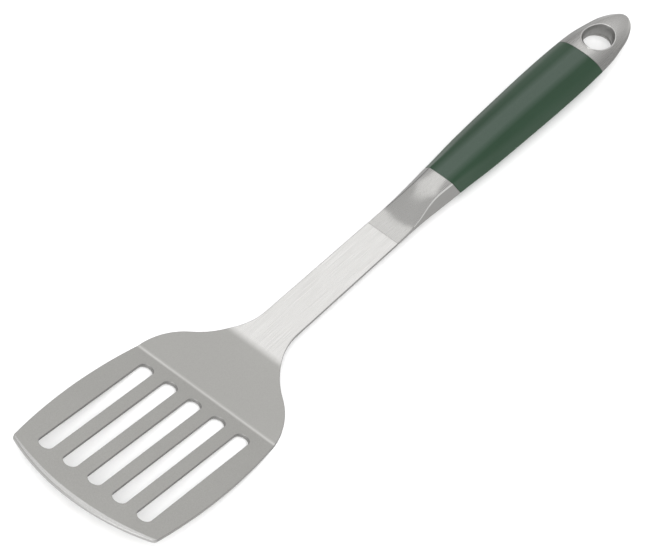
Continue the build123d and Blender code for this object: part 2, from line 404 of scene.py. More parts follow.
def outward_normals(loop):
    """Normals that point out of a loop with the metal on its left, and how far each point
    moves along its normal for a unit offset of the edge."""
    points = np.array(loop)
    ahead = np.roll(points, -1, 0) - points
    ahead /= np.linalg.norm(ahead, axis=1)[:, None]
    behind = np.roll(ahead, 1, 0)
    total = ahead + behind
    total /= np.linalg.norm(total, axis=1)[:, None]
    reach = 1 / np.maximum((total * ahead).sum(1), SHARPEST_MITRE)
    return np.column_stack((total[:, 1], -total[:, 0])), reach


# ---------- sheet metal: the blade
RIM_ANGLES = (0, 30, 60, 90)
REGIONS = ("face", "edge", "bevel", "front")
HEEL_POINTS = 41             # along the line where the bevel begins
TRIANGLES_INSIDE = 1         # the output type of the triangulation
MERGE_GAP = 1e-9             # points nearer than this are one to the triangulation


class SheetMesh:
    """Collects the points, faces and normals of the bent sheet."""

    def __init__(self):
        self.points = []
        self.plan = []
        self.normals = []
        self.faces = []
        self.regions = []

    def add_point(self, x, y, off, normal):
        self.points.append(sheet_point(x, y, off))
        self.plan.append((x, y))
        self.normals.append(sheet_vector(x, *normal))
        return len(self.points) - 1

    def add_face(self, face, region):
        self.faces.append(face)
        self.regions.append(region)


def face_normal(x, y, top):
    """Normal of the sheet's upper or lower face, in the sheet's own directions."""
    if not top:
        return (0, 0, -1)
    if bevel_depth(x, y) <= 0:
        return (0, 0, 1)
    return bevel_normal(x, y)


def bevel_normal(x, y):
    """Normal of the ground front edge, in the sheet's own directions."""
    slope = BEVEL_DEPTH / BEVEL_WIDTH
    outwards = np.array((x - BEVEL_PIVOT, y))
    outwards /= np.linalg.norm(outwards)
    normal = np.array((*outwards * slope, 1))
    return tuple(normal / np.linalg.norm(normal))


def add_rim(sheet, loop):
    """Rounded edge along one loop; returns the point numbers of its top and bottom rings."""
    outward, reach = outward_normals(loop)
    rings = []
    for top in (True, False):
        for angle in RIM_ANGLES if not top else RIM_ANGLES[::-1]:
            turn = math.radians(angle)
            inset = EDGE_ROUND * (1 - math.cos(turn))
            ring = []
            for (x, y), out, miter in zip(loop, outward, reach):
                x_in, y_in = x - out[0] * inset * miter, y - out[1] * inset * miter
                drop = EDGE_ROUND * (1 - math.sin(turn))
                face = np.array(face_normal(x_in, y_in, top))
                normal = np.array((*out, 0)) * math.cos(turn) + face * math.sin(turn)
                level = SHEET / 2 - drop
                off = level - bevel_depth(x_in, y_in) if top else -level
                ring.append(sheet.add_point(x_in, y_in, off, normal))
            rings.append(ring)
    for upper, lower in zip(rings, rings[1:]):
        for face, (x, y) in zip(strip_faces(upper, lower, closed=True, flip=True), loop):
            sheet.add_face(face, "front" if bevel_depth(x, y) > 0 else "edge")
    return rings[0], rings[-1]


def fill_face(sheet, rings, top):
    """Triangles of the upper or lower face between its rims, cut along bends and bevel."""
    numbers = [n for ring in rings for n in ring]
    owner = [k for k, ring in enumerate(rings) for _ in ring]
    flat = [Vector(sheet.plan[n]) for n in numbers]
    edges = []
    for k, ring in enumerate(rings):
        start = owner.index(k)
        edges += [(start + n, start + (n + 1) % len(ring)) for n in range(len(ring))]
    outer_count = len(rings[0])
    half = outer_count // 2
    for k in range(1, half):
        if any(abs(OUTLINE[k][0] - s) < TINY for s in BEND_STATIONS):
            edges.append((k, outer_count - k))
    if top:
        heel = heel_index()
        across = np.linspace(flat[heel].y, flat[outer_count - heel].y, HEEL_POINTS)[1:-1]
        chain = [heel]
        for y in across:
            x = bevel_heel(y)
            numbers.append(sheet.add_point(x, y, SHEET / 2, (0, 0, 1)))
            flat.append(Vector((x, y)))
            owner.append(0)
            chain.append(len(flat) - 1)
        chain.append(outer_count - heel)
        edges += list(zip(chain, chain[1:]))
    found = delaunay_2d_cdt(flat, edges, [], TRIANGLES_INSIDE, MERGE_GAP)
    source = [origin[0] for origin in found[3]]
    for triangle in found[2]:
        corners = [source[v] for v in triangle]
        owners = {owner[c] for c in corners}
        if len(owners) == 1 and owners != {0}:
            continue
        centre = sum((flat[c] for c in corners), Vector((0, 0))) / len(corners)
        face = tuple(numbers[c] for c in corners)
        region = "bevel" if top and centre.x < bevel_heel(centre.y) else "face"
        sheet.add_face(face if top else face[::-1], region)


def heel_index():
    """The outline point nearest to where the bevel's heel line meets the edge."""
    gaps = [abs(x - bevel_heel(y)) if y > 0 else NECK_X for x, y in OUTLINE]
    return int(np.argmin(gaps))


HALF = half_outline()
OUTLINE = [(x, -y) for x, y in HALF] + HALF[:0:-1]


def make_blade(materials):
    """The stamping: slotted blade, shoulder, shank and the tang inside the handle."""
    sheet = SheetMesh()
    loops = [OUTLINE] + [slot_loop((k - (SLOT_COUNT - 1) / 2) * SLOT_PITCH)
                         for k in range(SLOT_COUNT)]
    rims = [add_rim(sheet, loop) for loop in loops]
    fill_face(sheet, [rim[0] for rim in rims], True)
    fill_face(sheet, [rim[1] for rim in rims], False)
    indices = []
    normals = []
    for face, region in zip(sheet.faces, sheet.regions):
        indices.append(REGIONS.index(region))
        for v in face:
            x, y = sheet.plan[v]
            if region == "bevel":
                normals.append(sheet_vector(x, *bevel_normal(x, y)))
            elif region == "face" and sheet.normals[v].dot(sheet_vector(x, 0, 0, 1)) > 0:
                normals.append(sheet_vector(x, 0, 0, 1))
            else:
                normals.append(sheet.normals[v])
    return add_mesh("slotted_blade", "blade", sheet.points, sheet.faces, materials,
                    indices, normals)


# ---------- handle sections
def natural_spline(rows):
    """Smooth curve through table rows; the first column is the parameter."""
    x, y = rows[:, 0], rows[:, 1:]
    gaps = np.diff(x)
    count = len(x)
    matrix = np.eye(count)
    right = np.zeros_like(y)
    for i in range(1, count - 1):
        matrix[i, i - 1:i + 2] = gaps[i - 1], 2 * (gaps[i - 1] + gaps[i]), gaps[i]
        right[i] = 6 * ((y[i + 1] - y[i]) / gaps[i] - (y[i] - y[i - 1]) / gaps[i - 1])
    moments = np.linalg.solve(matrix, right)

    def at(value):
        i = np.clip(np.searchsorted(x, value) - 1, 0, count - 2)
        before, after = (value - x[i])[..., None], (x[i + 1] - value)[..., None]
        gap = gaps[i][..., None]
        curve = (moments[i] * after ** 3 + moments[i + 1] * before ** 3) / (6 * gap)
        curve += (y[i] / gap - moments[i] * gap / 6) * after
        curve += (y[i + 1] / gap - moments[i + 1] * gap / 6) * before
        return np.moveaxis(curve, -1, 0)

    return at


SECTION_CURVE = natural_spline(HANDLE_SECTIONS)
Section = namedtuple("Section", "width ridge ridge_up crown power ridge_soft side_soft")
FLATTEST = 0.2               # side facets are never flatter than this, in radians
STEEPEST_FALL = 0.8          # past the ridge, the top falls at most this share of the facet's slope
JOINT_ROUNDS = 12            # repeats that settle where a leaning joint meets the surface


def section(distance):
    """The handle's section at distances from the neck, rounding off to nothing at the tip."""
    distance = np.asarray(distance, float)
    reach = np.clip((distance - TIP_START) / (HANDLE_LENGTH - TIP_START), 0, 1)
    closing = np.maximum(np.sqrt(1 - reach ** 2), TINY)
    row = Section(*SECTION_CURVE(distance))
    return Section(*[value if name == "power" else value * closing
                     for name, value in zip(Section._fields, row)])


def facet_slope(cut):
    return np.clip(np.arctan2(cut.ridge_up, cut.width - cut.ridge), FLATTEST, None)


def edge_across(distance):
    """Half width of the handle once its side ridge is rounded."""
    cut = section(distance)
    return cut.width - cut.side_soft * (1 / np.sin(facet_slope(cut)) - 1)


def surface_height(distance, across):
    """Height of the handle's upper surface over its mid plane."""
    cut = section(distance)
    y = np.abs(across)
    slope = facet_slope(cut)
    inner = np.minimum(y / cut.ridge, 1) ** cut.power
    fall = np.minimum(cut.power * (cut.crown - cut.ridge_up) / cut.ridge,
                      STEEPEST_FALL * np.tan(slope))
    top = cut.crown + (cut.ridge_up - cut.crown) * inner - fall * np.maximum(y - cut.ridge, 0)
    centre = cut.width - cut.side_soft / np.sin(slope)
    facet = np.where(y < centre + cut.side_soft * np.sin(slope), np.tan(slope) * (cut.width - y),
                     np.sqrt(np.maximum(cut.side_soft ** 2 - (y - centre) ** 2, 0)))
    near = np.clip(1 - np.abs(top - facet) / cut.ridge_soft, 0, 1)
    near *= np.clip(facet / cut.ridge_soft, 0, 1)
    return np.maximum(np.minimum(top, facet) - near ** 2 * cut.ridge_soft / 4, 0)


# Columns of a half section: shares of the top between the ridges, then of the side facet
TOP_SHARES = (0, 0.1, 0.2, 0.3, 0.4, 0.5, 0.6, 0.7, 0.78, 0.85, 0.9, 0.94, 0.965, 0.985, 1.0)
FACET_SHARES = (0.02, 0.05, 0.1, 0.18, 0.28, 0.4, 0.52, 0.64, 0.75, 0.84, 0.91, 0.96, 0.99, 1.0)
QUARTER = [(False, share) for share in TOP_SHARES] + [(True, share) for share in FACET_SHARES]
COLUMNS = [(*place, 1) for place in QUARTER[::-1]] + [(*place, -1) for place in QUARTER[1:]]
ON_FACET, SHARE, SIDE = (np.array(column) for column in zip(*COLUMNS))


def column_across(distance):
    """Where each column lies across the handle, at its own distance from the neck."""
    ridge = section(distance).ridge
    edge = edge_across(distance)
    return SIDE * np.where(ON_FACET, ridge + (edge - ridge) * SHARE, ridge * SHARE)


def joint_distance(station, lean, half):
    """Distance at which each column meets a leaning joint; half is 1 above and -1 below."""
    distance = np.full(len(COLUMNS), float(station))
    for _ in range(JOINT_ROUNDS):
        distance = station - lean * half * surface_height(distance, column_across(distance))
    return distance


def half_surface(start, end, rows, half):
    """Grid of (distance, across, height) between two (station, lean) joints."""
    first, last = joint_distance(*start, half), joint_distance(*end, half)
    grid = []
    for share in rows:
        distance = first + (last - first) * share
        across = column_across(distance)
        grid.append(np.column_stack((distance, across, half * surface_height(distance, across))))
    return np.array(grid)


def full_surface(start, end, rows):
    """Closed grid round the whole handle between two joints."""
    upper = half_surface(start, end, rows, 1)
    lower = half_surface(start, end, rows, -1)
    return np.concatenate((upper, lower[:, -2:0:-1]), axis=1)


def round_ends(grid, ends):
    """Draws the named end rows in towards the handle's axis, as a small edge radius."""
    for end in ends:
        rows = range(len(grid)) if end == 0 else range(len(grid) - 1, -1, -1)
        for row in rows:
            from_end = np.abs(grid[row, :, 0] - grid[end, :, 0])
            if from_end.min() >= SEAM_ROUND:
                break
            depth = SEAM_ROUND - np.minimum(from_end, SEAM_ROUND)
            inset = SEAM_ROUND - np.sqrt(SEAM_ROUND ** 2 - depth ** 2)
            radius = np.hypot(grid[row, :, 1], grid[row, :, 2])
            grid[row, :, 1:] *= (1 - inset / radius)[:, None]
    return grid


EDGE_ROWS = (0, 0.04, 0.1, 0.2, 0.35)    # distances of the first rows from an end
EDGE_ZONE = 1.2              # from here on the rows are evenly spaced


def row_shares(length, spacing):
    """Shares of a length, close together at both ends for the rounded edges."""
    fine = np.array(EDGE_ROWS) / length
    middle = np.linspace(EDGE_ZONE / length, 1 - EDGE_ZONE / length, int(length / spacing))
    return np.concatenate((fine, middle, 1 - fine[::-1]))


def shell(outer, inner, closed):
    """Points and faces of the closed wall between two grids in handle coordinates."""
    rows, columns = outer.shape[:2]
    flat = np.concatenate((outer.reshape(-1, 3), inner.reshape(-1, 3)))
    points = handle_point(flat[:, 0], flat[:, 1], flat[:, 2])
    offset = rows * columns
    faces = grid_faces(rows, columns, 0, closed) + grid_faces(rows, columns, offset, closed, True)
    for row in (0, rows - 1):
        edge = range(row * columns, (row + 1) * columns)
        faces += strip_faces(edge, [n + offset for n in edge], closed, row > 0)
    if not closed:
        for column in (0, columns - 1):
            edge = range(column, offset, columns)
            faces += strip_faces(edge, [n + offset for n in edge], False, column == 0)
    return points, faces


def thinned(grid, wall):
    """The same grid, a wall's thickness nearer to the handle's axis."""
    inner = grid.copy()
    width = np.abs(grid[..., 1]).max(1)[:, None]
    height = np.abs(grid[..., 2]).max(1)[:, None]
    inner[..., 1] *= 1 - wall / width
    inner[..., 2] *= np.maximum(1 - wall / height, 0)
    return inner


# ---------- ferrule, grip and cap
# satin crown; painted shade on the side facets; a painted highlight along the −Y ridge; a painted
# dark line along the +Y ridge
FINISHES_AND_PAINTED_LIGHT = ("crown", "side", "painted highlight ridge", "painted shade ridge")
PAINTED_RIDGE_START = 15.0           # from here to the grip the ridges carry painted light: a highlight along the −Y ridge and a dark line along the +Y ridge
PAINTED_RIDGE_SHARES = (0.95, 0.11)  # the painted ridge band begins on the crown and ends on the side facet
FERRULE_SPACING = 0.7        # between rows of the surface
GRIP_SPACING = 1.4
CREASED = 50                 # fittings stay sharp over this angle, in degrees


def ferrule_finish_and_painted_light(grid):
    """Tone of each outer face of the ferrule, as its place in the list above: satin crown, painted
    shade on the side facets, and a painted highlight and a painted dark line on the ridges.
    """
    near = np.where(ON_FACET, SHARE < PAINTED_RIDGE_SHARES[1], SHARE > PAINTED_RIDGE_SHARES[0])
    finishes = []
    for row in grid[:-1]:
        for column in range(len(COLUMNS) - 1):
            pair = slice(column, column + 2)
            # painted light on the ridges: a dark line on the +Y ridge, a highlight on the −Y ridge;
            # painted shade on the side facets
            if near[pair].all() and row[column, 0] > PAINTED_RIDGE_START:
                finish = "painted shade ridge" if SIDE[column] > 0 else "painted highlight ridge"
            else:
                finish = "side" if ON_FACET[pair].any() else "crown"
            finishes.append(FINISHES_AND_PAINTED_LIGHT.index(finish))
    return finishes


def make_ferrule_half(name, node, half, materials):
    """Half of the ferrule: flat over the neck, then a crowned face between two ridges."""
    rows = row_shares(GRIP_FRONT, FERRULE_SPACING)
    outer = round_ends(half_surface((0, 0), (GRIP_FRONT, FRONT_LEAN), rows, half), [-1])
    inner = thinned(outer, FERRULE_WALL)
    over_tang = np.clip(np.abs(outer[..., 2]) - FERRULE_NECK_WALL, 0, TANG_CLEARANCE)
    inner[..., 2] = half * np.maximum(np.abs(inner[..., 2]), over_tang)
    points, faces = shell(outer, inner, False)
    indices = ferrule_finish_and_painted_light(outer)
    indices += [0] * (len(faces) - len(indices))
    return add_mesh(name, node, points, faces, materials, indices,
                    sharp=CREASED)


def make_grip(material):
    """Soft sleeve between the two leaning joints."""
    rows = row_shares(GRIP_REAR - GRIP_FRONT, GRIP_SPACING)
    joints = (GRIP_FRONT, FRONT_LEAN), (GRIP_REAR, REAR_LEAN)
    outer = round_ends(full_surface(*joints, rows), [0, -1])
    points, faces = shell(outer, thinned(outer, SHELL), True)
    return add_mesh("soft_grip", "grip_sleeve", points, faces, [material],
                    sharp=CREASED)


def oval_radius(angle, half_length, half_width):
    """Radius of an ellipse in a direction."""
    return 1 / np.hypot(np.cos(angle) / half_length, np.sin(angle) / half_width)


NARROWEST = 0.3              # the inside fades out as it narrows to this share of the outside


def hollow_height(distance, across):
    """Height of the space inside the cap, which narrows to nothing before the tip."""
    cut = section(distance)
    narrowing = 1 - SHELL / edge_across(distance)
    fade = np.clip((narrowing - NARROWEST) / NARROWEST, 0, 1)
    lowering = np.maximum(1 - SHELL / cut.crown, 0)
    return fade * lowering * surface_height(distance, across / np.maximum(narrowing, NARROWEST))


CAP_EDGE_RAYS = 150
CAP_JOINT_RAYS = 50
CAP_RINGS = 36
TIP_CROWDING = 0.4           # 1 spaces the rays to the edge evenly, less crowds them at the tip
RING_CROWDING = 1.9          # 1 spaces the rings evenly, more crowds them at the edge
BISECTIONS = 45


def hole_centre(side):
    """Distance of the hole's centre: side is 1 at the mouth, 0 at the waist, -1 at the foot."""
    return HOLE_STATION + HOLE_DRIFT * (1 - side) / 2


def cap_rays(centre):
    """Directions from the hole's centre, closest together towards the tip, with one through
    each corner where the outline meets the joint."""
    corner = math.atan2(float(edge_across(GRIP_REAR)), GRIP_REAR - centre)
    t = np.linspace(-1, 1, CAP_EDGE_RAYS + 1)
    edge = corner * t * (TIP_CROWDING + (1 - TIP_CROWDING) * np.abs(t))
    joint = np.linspace(corner, 2 * math.pi - corner, CAP_JOINT_RAYS + 1)[1:-1]
    return np.concatenate((edge, joint))


def ray_reach(centre, angles, height_at, half):
    """How far each ray runs before it leaves the cap, found by bisection."""
    low = np.zeros_like(angles)
    high = np.full_like(angles, HANDLE_LENGTH - HOLE_STATION + JOIN_GAP)
    for _ in range(BISECTIONS):
        middle = (low + high) / 2
        distance = centre + middle * np.cos(angles)
        across = middle * np.sin(angles)
        inside = np.abs(across) < edge_across(distance)
        inside &= distance < HANDLE_LENGTH
        inside &= distance > GRIP_REAR - REAR_LEAN * half * height_at(distance, across)
        low, high = np.where(inside, middle, low), np.where(inside, high, middle)
    return low


def cap_sheet(centre, height_at, half, rim):
    """Rings of (distance, across, height) from the hole's rim out to the cap's edge."""
    angles = cap_rays(centre)
    start = oval_radius(angles, rim[0] + EYELET_WALL, rim[1] + EYELET_WALL)
    end = ray_reach(centre, angles, height_at, half)
    grid = []
    for t in np.linspace(0, 1, CAP_RINGS + 1):
        radius = start + (end - start) * (1 - (1 - t) ** RING_CROWDING)
        distance = centre + radius * np.cos(angles)
        across = radius * np.sin(angles)
        height = height_at(distance, across)
        if t == 1:
            on_joint = np.abs(across) < edge_across(distance) - JOIN_GAP
            height = np.where(on_joint, height, 0)
        grid.append(np.column_stack((distance, across, half * height)))
    return np.array(grid)


def make_cap_half(name, node, half, material):
    """Half shell of the end cap round the hanging hole."""
    rim = HOLE_MOUTH if half > 0 else HOLE_FOOT
    outer = cap_sheet(hole_centre(half), surface_height, half, rim)
    inner = cap_sheet(hole_centre(0), hollow_height, half, HOLE_WAIST)
    points, faces = shell(outer, inner, True)
    return add_mesh(name, node, points, faces, [material], sharp=CREASED)


EYELET_RAYS = 120
EYELET_ROWS = 9              # down each flank of the wall, and over each lip
EYELET_FLARE = 1.7           # power of the curve from waist to mouth
EYELET_CREASED = 60          # in degrees


def make_eyelet(materials):
    """Hourglass eyelet through the cap, with a rolled lip at both ends."""
    angles = np.linspace(0, 2 * math.pi, EYELET_RAYS, endpoint=False)
    bead = EYELET_WALL / 2
    lip = [(bead + bead * math.cos(a), EYELET_BEAD * math.sin(a))
           for a in np.linspace(0, math.pi, EYELET_ROWS)]
    rings = []
    on_lip = []

    def add_ring(half, share, outset, lift):
        size = HOLE_MOUTH if half > 0 else HOLE_FOOT
        length, width = (waist + (mouth - waist) * share ** EYELET_FLARE + outset
                         for waist, mouth in zip(HOLE_WAIST, size))
        radius = oval_radius(angles, length, width)
        rim = oval_radius(angles, size[0] + EYELET_WALL, size[1] + EYELET_WALL)
        end = hole_centre(half)
        rim_height = surface_height(end + rim * np.cos(angles), rim * np.sin(angles))
        height = half * (rim_height * share + lift)
        rings.append(np.column_stack((hole_centre(half * share) + radius * np.cos(angles),
                                      radius * np.sin(angles), height)))
        on_lip.append(lift > TINY)

    wall = np.linspace(0, 1, EYELET_ROWS)
    for share in wall[:-1]:
        add_ring(1, share, EYELET_WALL, 0)
    for outset, lift in lip:
        add_ring(1, 1, outset, lift)
    for share in wall[-2::-1]:
        add_ring(1, share, 0, 0)
    for share in wall[1:-1]:
        add_ring(-1, share, 0, 0)
    for outset, lift in lip[::-1]:
        add_ring(-1, 1, outset, lift)
    for share in wall[-2:0:-1]:
        add_ring(-1, share, EYELET_WALL, 0)
    grid = np.concatenate((rings, rings[:1]))
    flat = grid[:-1].reshape(-1, 3)
    points = handle_point(flat[:, 0], flat[:, 1], flat[:, 2])
    count = len(rings)
    faces = []
    indices = []
    for row in range(count):
        this = range(row * EYELET_RAYS, (row + 1) * EYELET_RAYS)
        following = [n % (count * EYELET_RAYS) for n in range(this.stop, this.stop + EYELET_RAYS)]
        added = strip_faces(this, following, True)
        faces += added
        indices += [int(on_lip[row] or on_lip[(row + 1) % count])] * len(added)
    return add_mesh("hanging_eyelet", "hang_eyelet", points, faces, materials,
                    indices, sharp=EYELET_CREASED)


# ---------- materials
class Shader:
    """A Principled material whose textures follow the row frame, in metres."""

    def __init__(self, name, metallic=0.0, **constants):
        self.material = bpy.data.materials.new(name)
        self.material.use_nodes = True
        self.nodes = self.material.node_tree.nodes
        self.links = self.material.node_tree.links
        self.surface = self.nodes["Principled BSDF"]
        self.surface.inputs["Metallic"].default_value = metallic
        for socket, value in constants.items():
            self.surface.inputs[socket.replace("_", " ")].default_value = value
        self.place = self.nodes.new("ShaderNodeTexCoord").outputs["Object"]

    def stretched(self, scale):
        """Coordinates scaled along each axis, in features per metre."""
        mapping = self.nodes.new("ShaderNodeMapping")
        mapping.inputs["Scale"].default_value = scale
        self.links.new(self.place, mapping.inputs["Vector"])
        return mapping.outputs["Vector"]

    def noise(self, scale, detail=3.0, roughness=0.5):
        """Noise with features per metre along each axis."""
        texture = self.nodes.new("ShaderNodeTexNoise")
        texture.inputs["Scale"].default_value = 1.0
        texture.inputs["Detail"].default_value = detail
        texture.inputs["Roughness"].default_value = roughness
        self.links.new(self.stretched(scale), texture.inputs["Vector"])
        return texture.outputs["Fac"]

    def ranged(self, value, low, high, start=0.3, stop=0.7):
        """Noise value spread to a range."""
        spread = self.nodes.new("ShaderNodeMapRange")
        for socket, number in zip(("From Min", "From Max", "To Min", "To Max"),
                                  (start, stop, low, high)):
            spread.inputs[socket].default_value = number
        self.links.new(value, spread.inputs["Value"])
        return spread.outputs["Result"]

    def blended(self, factor, first, second):
        """Colour between two others; either may be a colour or a socket."""
        mix = self.nodes.new("ShaderNodeMix")
        mix.data_type = "RGBA"
        self.links.new(factor, mix.inputs["Factor"])
        for socket, colour in (("A", first), ("B", second)):
            end = next(i for i in mix.inputs if i.name == socket and i.type == "RGBA")
            if isinstance(colour, tuple):
                end.default_value = (*colour, 1)
            else:
                self.links.new(colour, end)
        return next(o for o in mix.outputs if o.type == "RGBA")

    def mixed(self, factor, first, second):
        """Number between two sockets."""
        mix = self.nodes.new("ShaderNodeMix")
        for value, socket in zip((factor, first, second), mix.inputs[0:1] + mix.inputs[2:4]):
            self.links.new(value, socket)
        return mix.outputs["Result"]

    def axis(self, name):
        """Place along one axis, in metres."""
        split = self.nodes.new("ShaderNodeSeparateXYZ")
        self.links.new(self.place, split.inputs["Vector"])
        return split.outputs[name]

    def near(self, name, place, core, reach):
        """1 within a core distance of a place along an axis, 0 beyond a reach, all in mm."""
        offset = self.nodes.new("ShaderNodeMath")
        offset.operation = "SUBTRACT"
        self.links.new(self.axis(name), offset.inputs[0])
        offset.inputs[1].default_value = place * MM
        size = self.nodes.new("ShaderNodeMath")
        size.operation = "ABSOLUTE"
        self.links.new(offset.outputs["Value"], size.inputs[0])
        return self.ranged(size.outputs["Value"], 1, 0, core * MM, reach * MM)

    def bump(self, heights):
        """Bumps stacked from (height socket, depth in mm) pairs."""
        normal = None
        for height, depth in heights:
            node = self.nodes.new("ShaderNodeBump")
            node.inputs["Distance"].default_value = depth * MM
            self.links.new(height, node.inputs["Height"])
            if normal is not None:
                self.links.new(normal, node.inputs["Normal"])
            normal = node.outputs["Normal"]
        self.links.new(normal, self.surface.inputs["Normal"])

    def link(self, value, socket):
        self.links.new(value, self.surface.inputs[socket])


PATCHES = 0.02               # faint clouds, per mm
EDGE_TINT = (0.6, 0.6, 0.6, 1.0)     # keeps steel from whitening where it is seen edge-on
GLOSS_SPREAD = 0.05          # how far the roughness of a steel fitting strays either way
SHEET_GRAIN_DEPTH = 0.005    # in mm, as all depths of grain are
RUBBER_STIPPLE = 2.6         # per mm
RUBBER_WEAR = (12, 60, 60)   # per metre, long along the grip
NYLON_MOTTLE = 1.5           # per mm
NYLON_LIFT = 1.25            # how much lighter the mottle's light patches are
GREEN_DARK = (0.014, 0.037, 0.019)
GREEN_LIGHT = (0.018, 0.044, 0.024)
GREEN_PAINTED_HIGHLIGHT = (0.053, 0.077, 0.061)
GRIP_HIGHLIGHT_BAND = (2.5, 6.0)       # painted highlight: the lighter band along the middle of the grip fades out between these distances from the middle, in mm
NYLON = (0.03, 0.03, 0.032)
BLADE_GRAIN = 1.6            # features per mm
BLADE_DARK = (0.292, 0.288, 0.276)
BLADE_LIGHT = (0.340, 0.336, 0.322)
# tone of the painted highlight along the crease
CREASE_PAINTED_HIGHLIGHT = (0.44, 0.435, 0.42)
CREASE_HIGHLIGHT_BAND = (0.5, 1.6)  # the painted highlight's middle distance from the crease and its half width, in mm
SHOULDER_PAINTED_LIGHT = 0.32        # painted light: how far the shoulder's colour is lifted towards the crease's painted highlight
SHANK_BRUSHING = (0.03, 4.0, 4.0)
SHANK_DARK = (0.435, 0.43, 0.42)
SHANK_LIGHT = (0.515, 0.51, 0.50)
SHANK_FADE = 2.5             # half length of the change from matte to brushed, in mm


def per_metre(grain):
    """Features per metre from features per mm, along each axis."""
    return tuple(per_mm / MM for per_mm in grain)


def even(per_mm):
    """The same number of features per mm along each axis, per metre."""
    return per_metre((per_mm,) * 3)


def steel(name, dark, light, roughness, grain, grain_depth, painted_shade_sides=None):
    """Stainless steel: brushing or grain (features per mm along each axis) of a depth in mm,
    faint patches and slight differences in gloss. Painted shade sides, where given, are a darker
    colour and the distances from the middle of the tool, in mm, between which it takes over."""
    shader = Shader(name, metallic=1.0, Specular_Tint=EDGE_TINT)
    lines = shader.noise(per_metre(grain), detail=4.0, roughness=0.6)
    patch = shader.noise(even(PATCHES), detail=2.0)
    cloudy = shader.blended(shader.ranged(patch, 0, 0.35), dark, light)
    colour = shader.blended(shader.ranged(lines, 0, 1, 0.25, 0.75), dark, cloudy)
    if painted_shade_sides:
        # painted shade: darker colour towards both side edges of the piece
        colour = shader.blended(shader.near("Y", 0, *painted_shade_sides[1:]), painted_shade_sides[0], colour)
    shader.link(colour, "Base Color")
    gloss = shader.ranged(lines, roughness + GLOSS_SPREAD, roughness - GLOSS_SPREAD)
    shader.link(gloss, "Roughness")
    shader.bump([(lines, grain_depth)])
    return shader.material


def sheet_steel(name):
    """Matte blade with a painted highlight along the crease and painted light over the shoulder,
    and a shank brushed lengthwise.
    """
    shader = Shader(name, metallic=1.0)
    grain = shader.noise(even(BLADE_GRAIN), detail=4.0, roughness=0.6)
    lines = shader.noise(per_metre(SHANK_BRUSHING), detail=4.0, roughness=0.6)
    patch = shader.ranged(shader.noise(even(PATCHES), detail=2.0), 0, 1)
    matte = shader.blended(shader.ranged(grain, 0, 1, 0.25, 0.75), BLADE_DARK, BLADE_LIGHT)
    # painted light: past the crease the sheet is lightened part way to the crease's painted
    # highlight
    shoulder_light_mask = shader.ranged(shader.axis("X"), 0, SHOULDER_PAINTED_LIGHT, CREASE_X * MM,
                                (CREASE_X + SHANK_FADE) * MM)
    matte = shader.blended(shoulder_light_mask, matte, CREASE_PAINTED_HIGHLIGHT)
    # painted highlight: a light band along the crease, where the bend reflects the panel
    crease = shader.near("X", CREASE_X + CREASE_HIGHLIGHT_BAND[0], 0, CREASE_HIGHLIGHT_BAND[1])
    matte = shader.blended(crease, matte, CREASE_PAINTED_HIGHLIGHT)
    brushed = shader.blended(shader.ranged(lines, 0, 1, 0.25, 0.75), SHANK_DARK, SHANK_LIGHT)
    bend = BEND[0] * MM
    on_shank = shader.ranged(shader.axis("X"), 0, 1, bend - SHANK_FADE * MM, bend + SHANK_FADE * MM)
    shader.link(shader.blended(on_shank, matte, brushed), "Base Color")
    shader.link(shader.mixed(on_shank, shader.ranged(patch, 0.34, 0.38),
                             shader.ranged(lines, 0.32, 0.24)), "Roughness")
    shader.bump([(shader.mixed(on_shank, grain, lines), SHEET_GRAIN_DEPTH)])
    return shader.material


def rubber(name):
    """Soft-touch green rubber: fine stipple, slightly uneven colour, and a painted highlight as a
    lighter band along the middle of the grip.
    """
    shader = Shader(name, Specular_IOR_Level=0.4, IOR=1.3)
    stipple = shader.noise(even(RUBBER_STIPPLE), detail=2.0)
    worn = shader.noise(RUBBER_WEAR, detail=3.0)
    colour = shader.blended(shader.ranged(worn, 0, 1), GREEN_DARK, GREEN_LIGHT)
    # painted highlight: lighter colour in a band along the middle of the grip, in place of the soft
    # reflection on its top
    colour = shader.blended(shader.near("Y", 0, *GRIP_HIGHLIGHT_BAND), colour, GREEN_PAINTED_HIGHLIGHT)
    shader.link(shader.blended(shader.ranged(stipple, 0, 0.25), colour, GREEN_DARK), "Base Color")
    shader.link(shader.ranged(worn, 0.5, 0.44), "Roughness")
    shader.bump([(stipple, 0.012)])
    return shader.material


def moulded(name, colour):
    """Plain moulded nylon with a fine mottle."""
    shader = Shader(name)
    mottle = shader.noise(even(NYLON_MOTTLE), detail=3.0)
    lighter = tuple(min(1.0, c * NYLON_LIFT) for c in colour)
    shader.link(shader.blended(shader.ranged(mottle, 0, 1), colour, lighter), "Base Color")
    shader.link(shader.ranged(mottle, 0.42, 0.55), "Roughness")
    shader.bump([(mottle, 0.01)])
    return shader.material


def paint_node(node, material):
    """Gives a CAD node that is kept a finished material."""
    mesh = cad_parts[node].data
    mesh.materials.clear()
    mesh.materials.append(material)


ALONG_FRONT = (3.0, 0.3, 3.0)        # grain along the front edge, per mm
ALONG_HANDLE = (0.15, 3.0, 3.0)
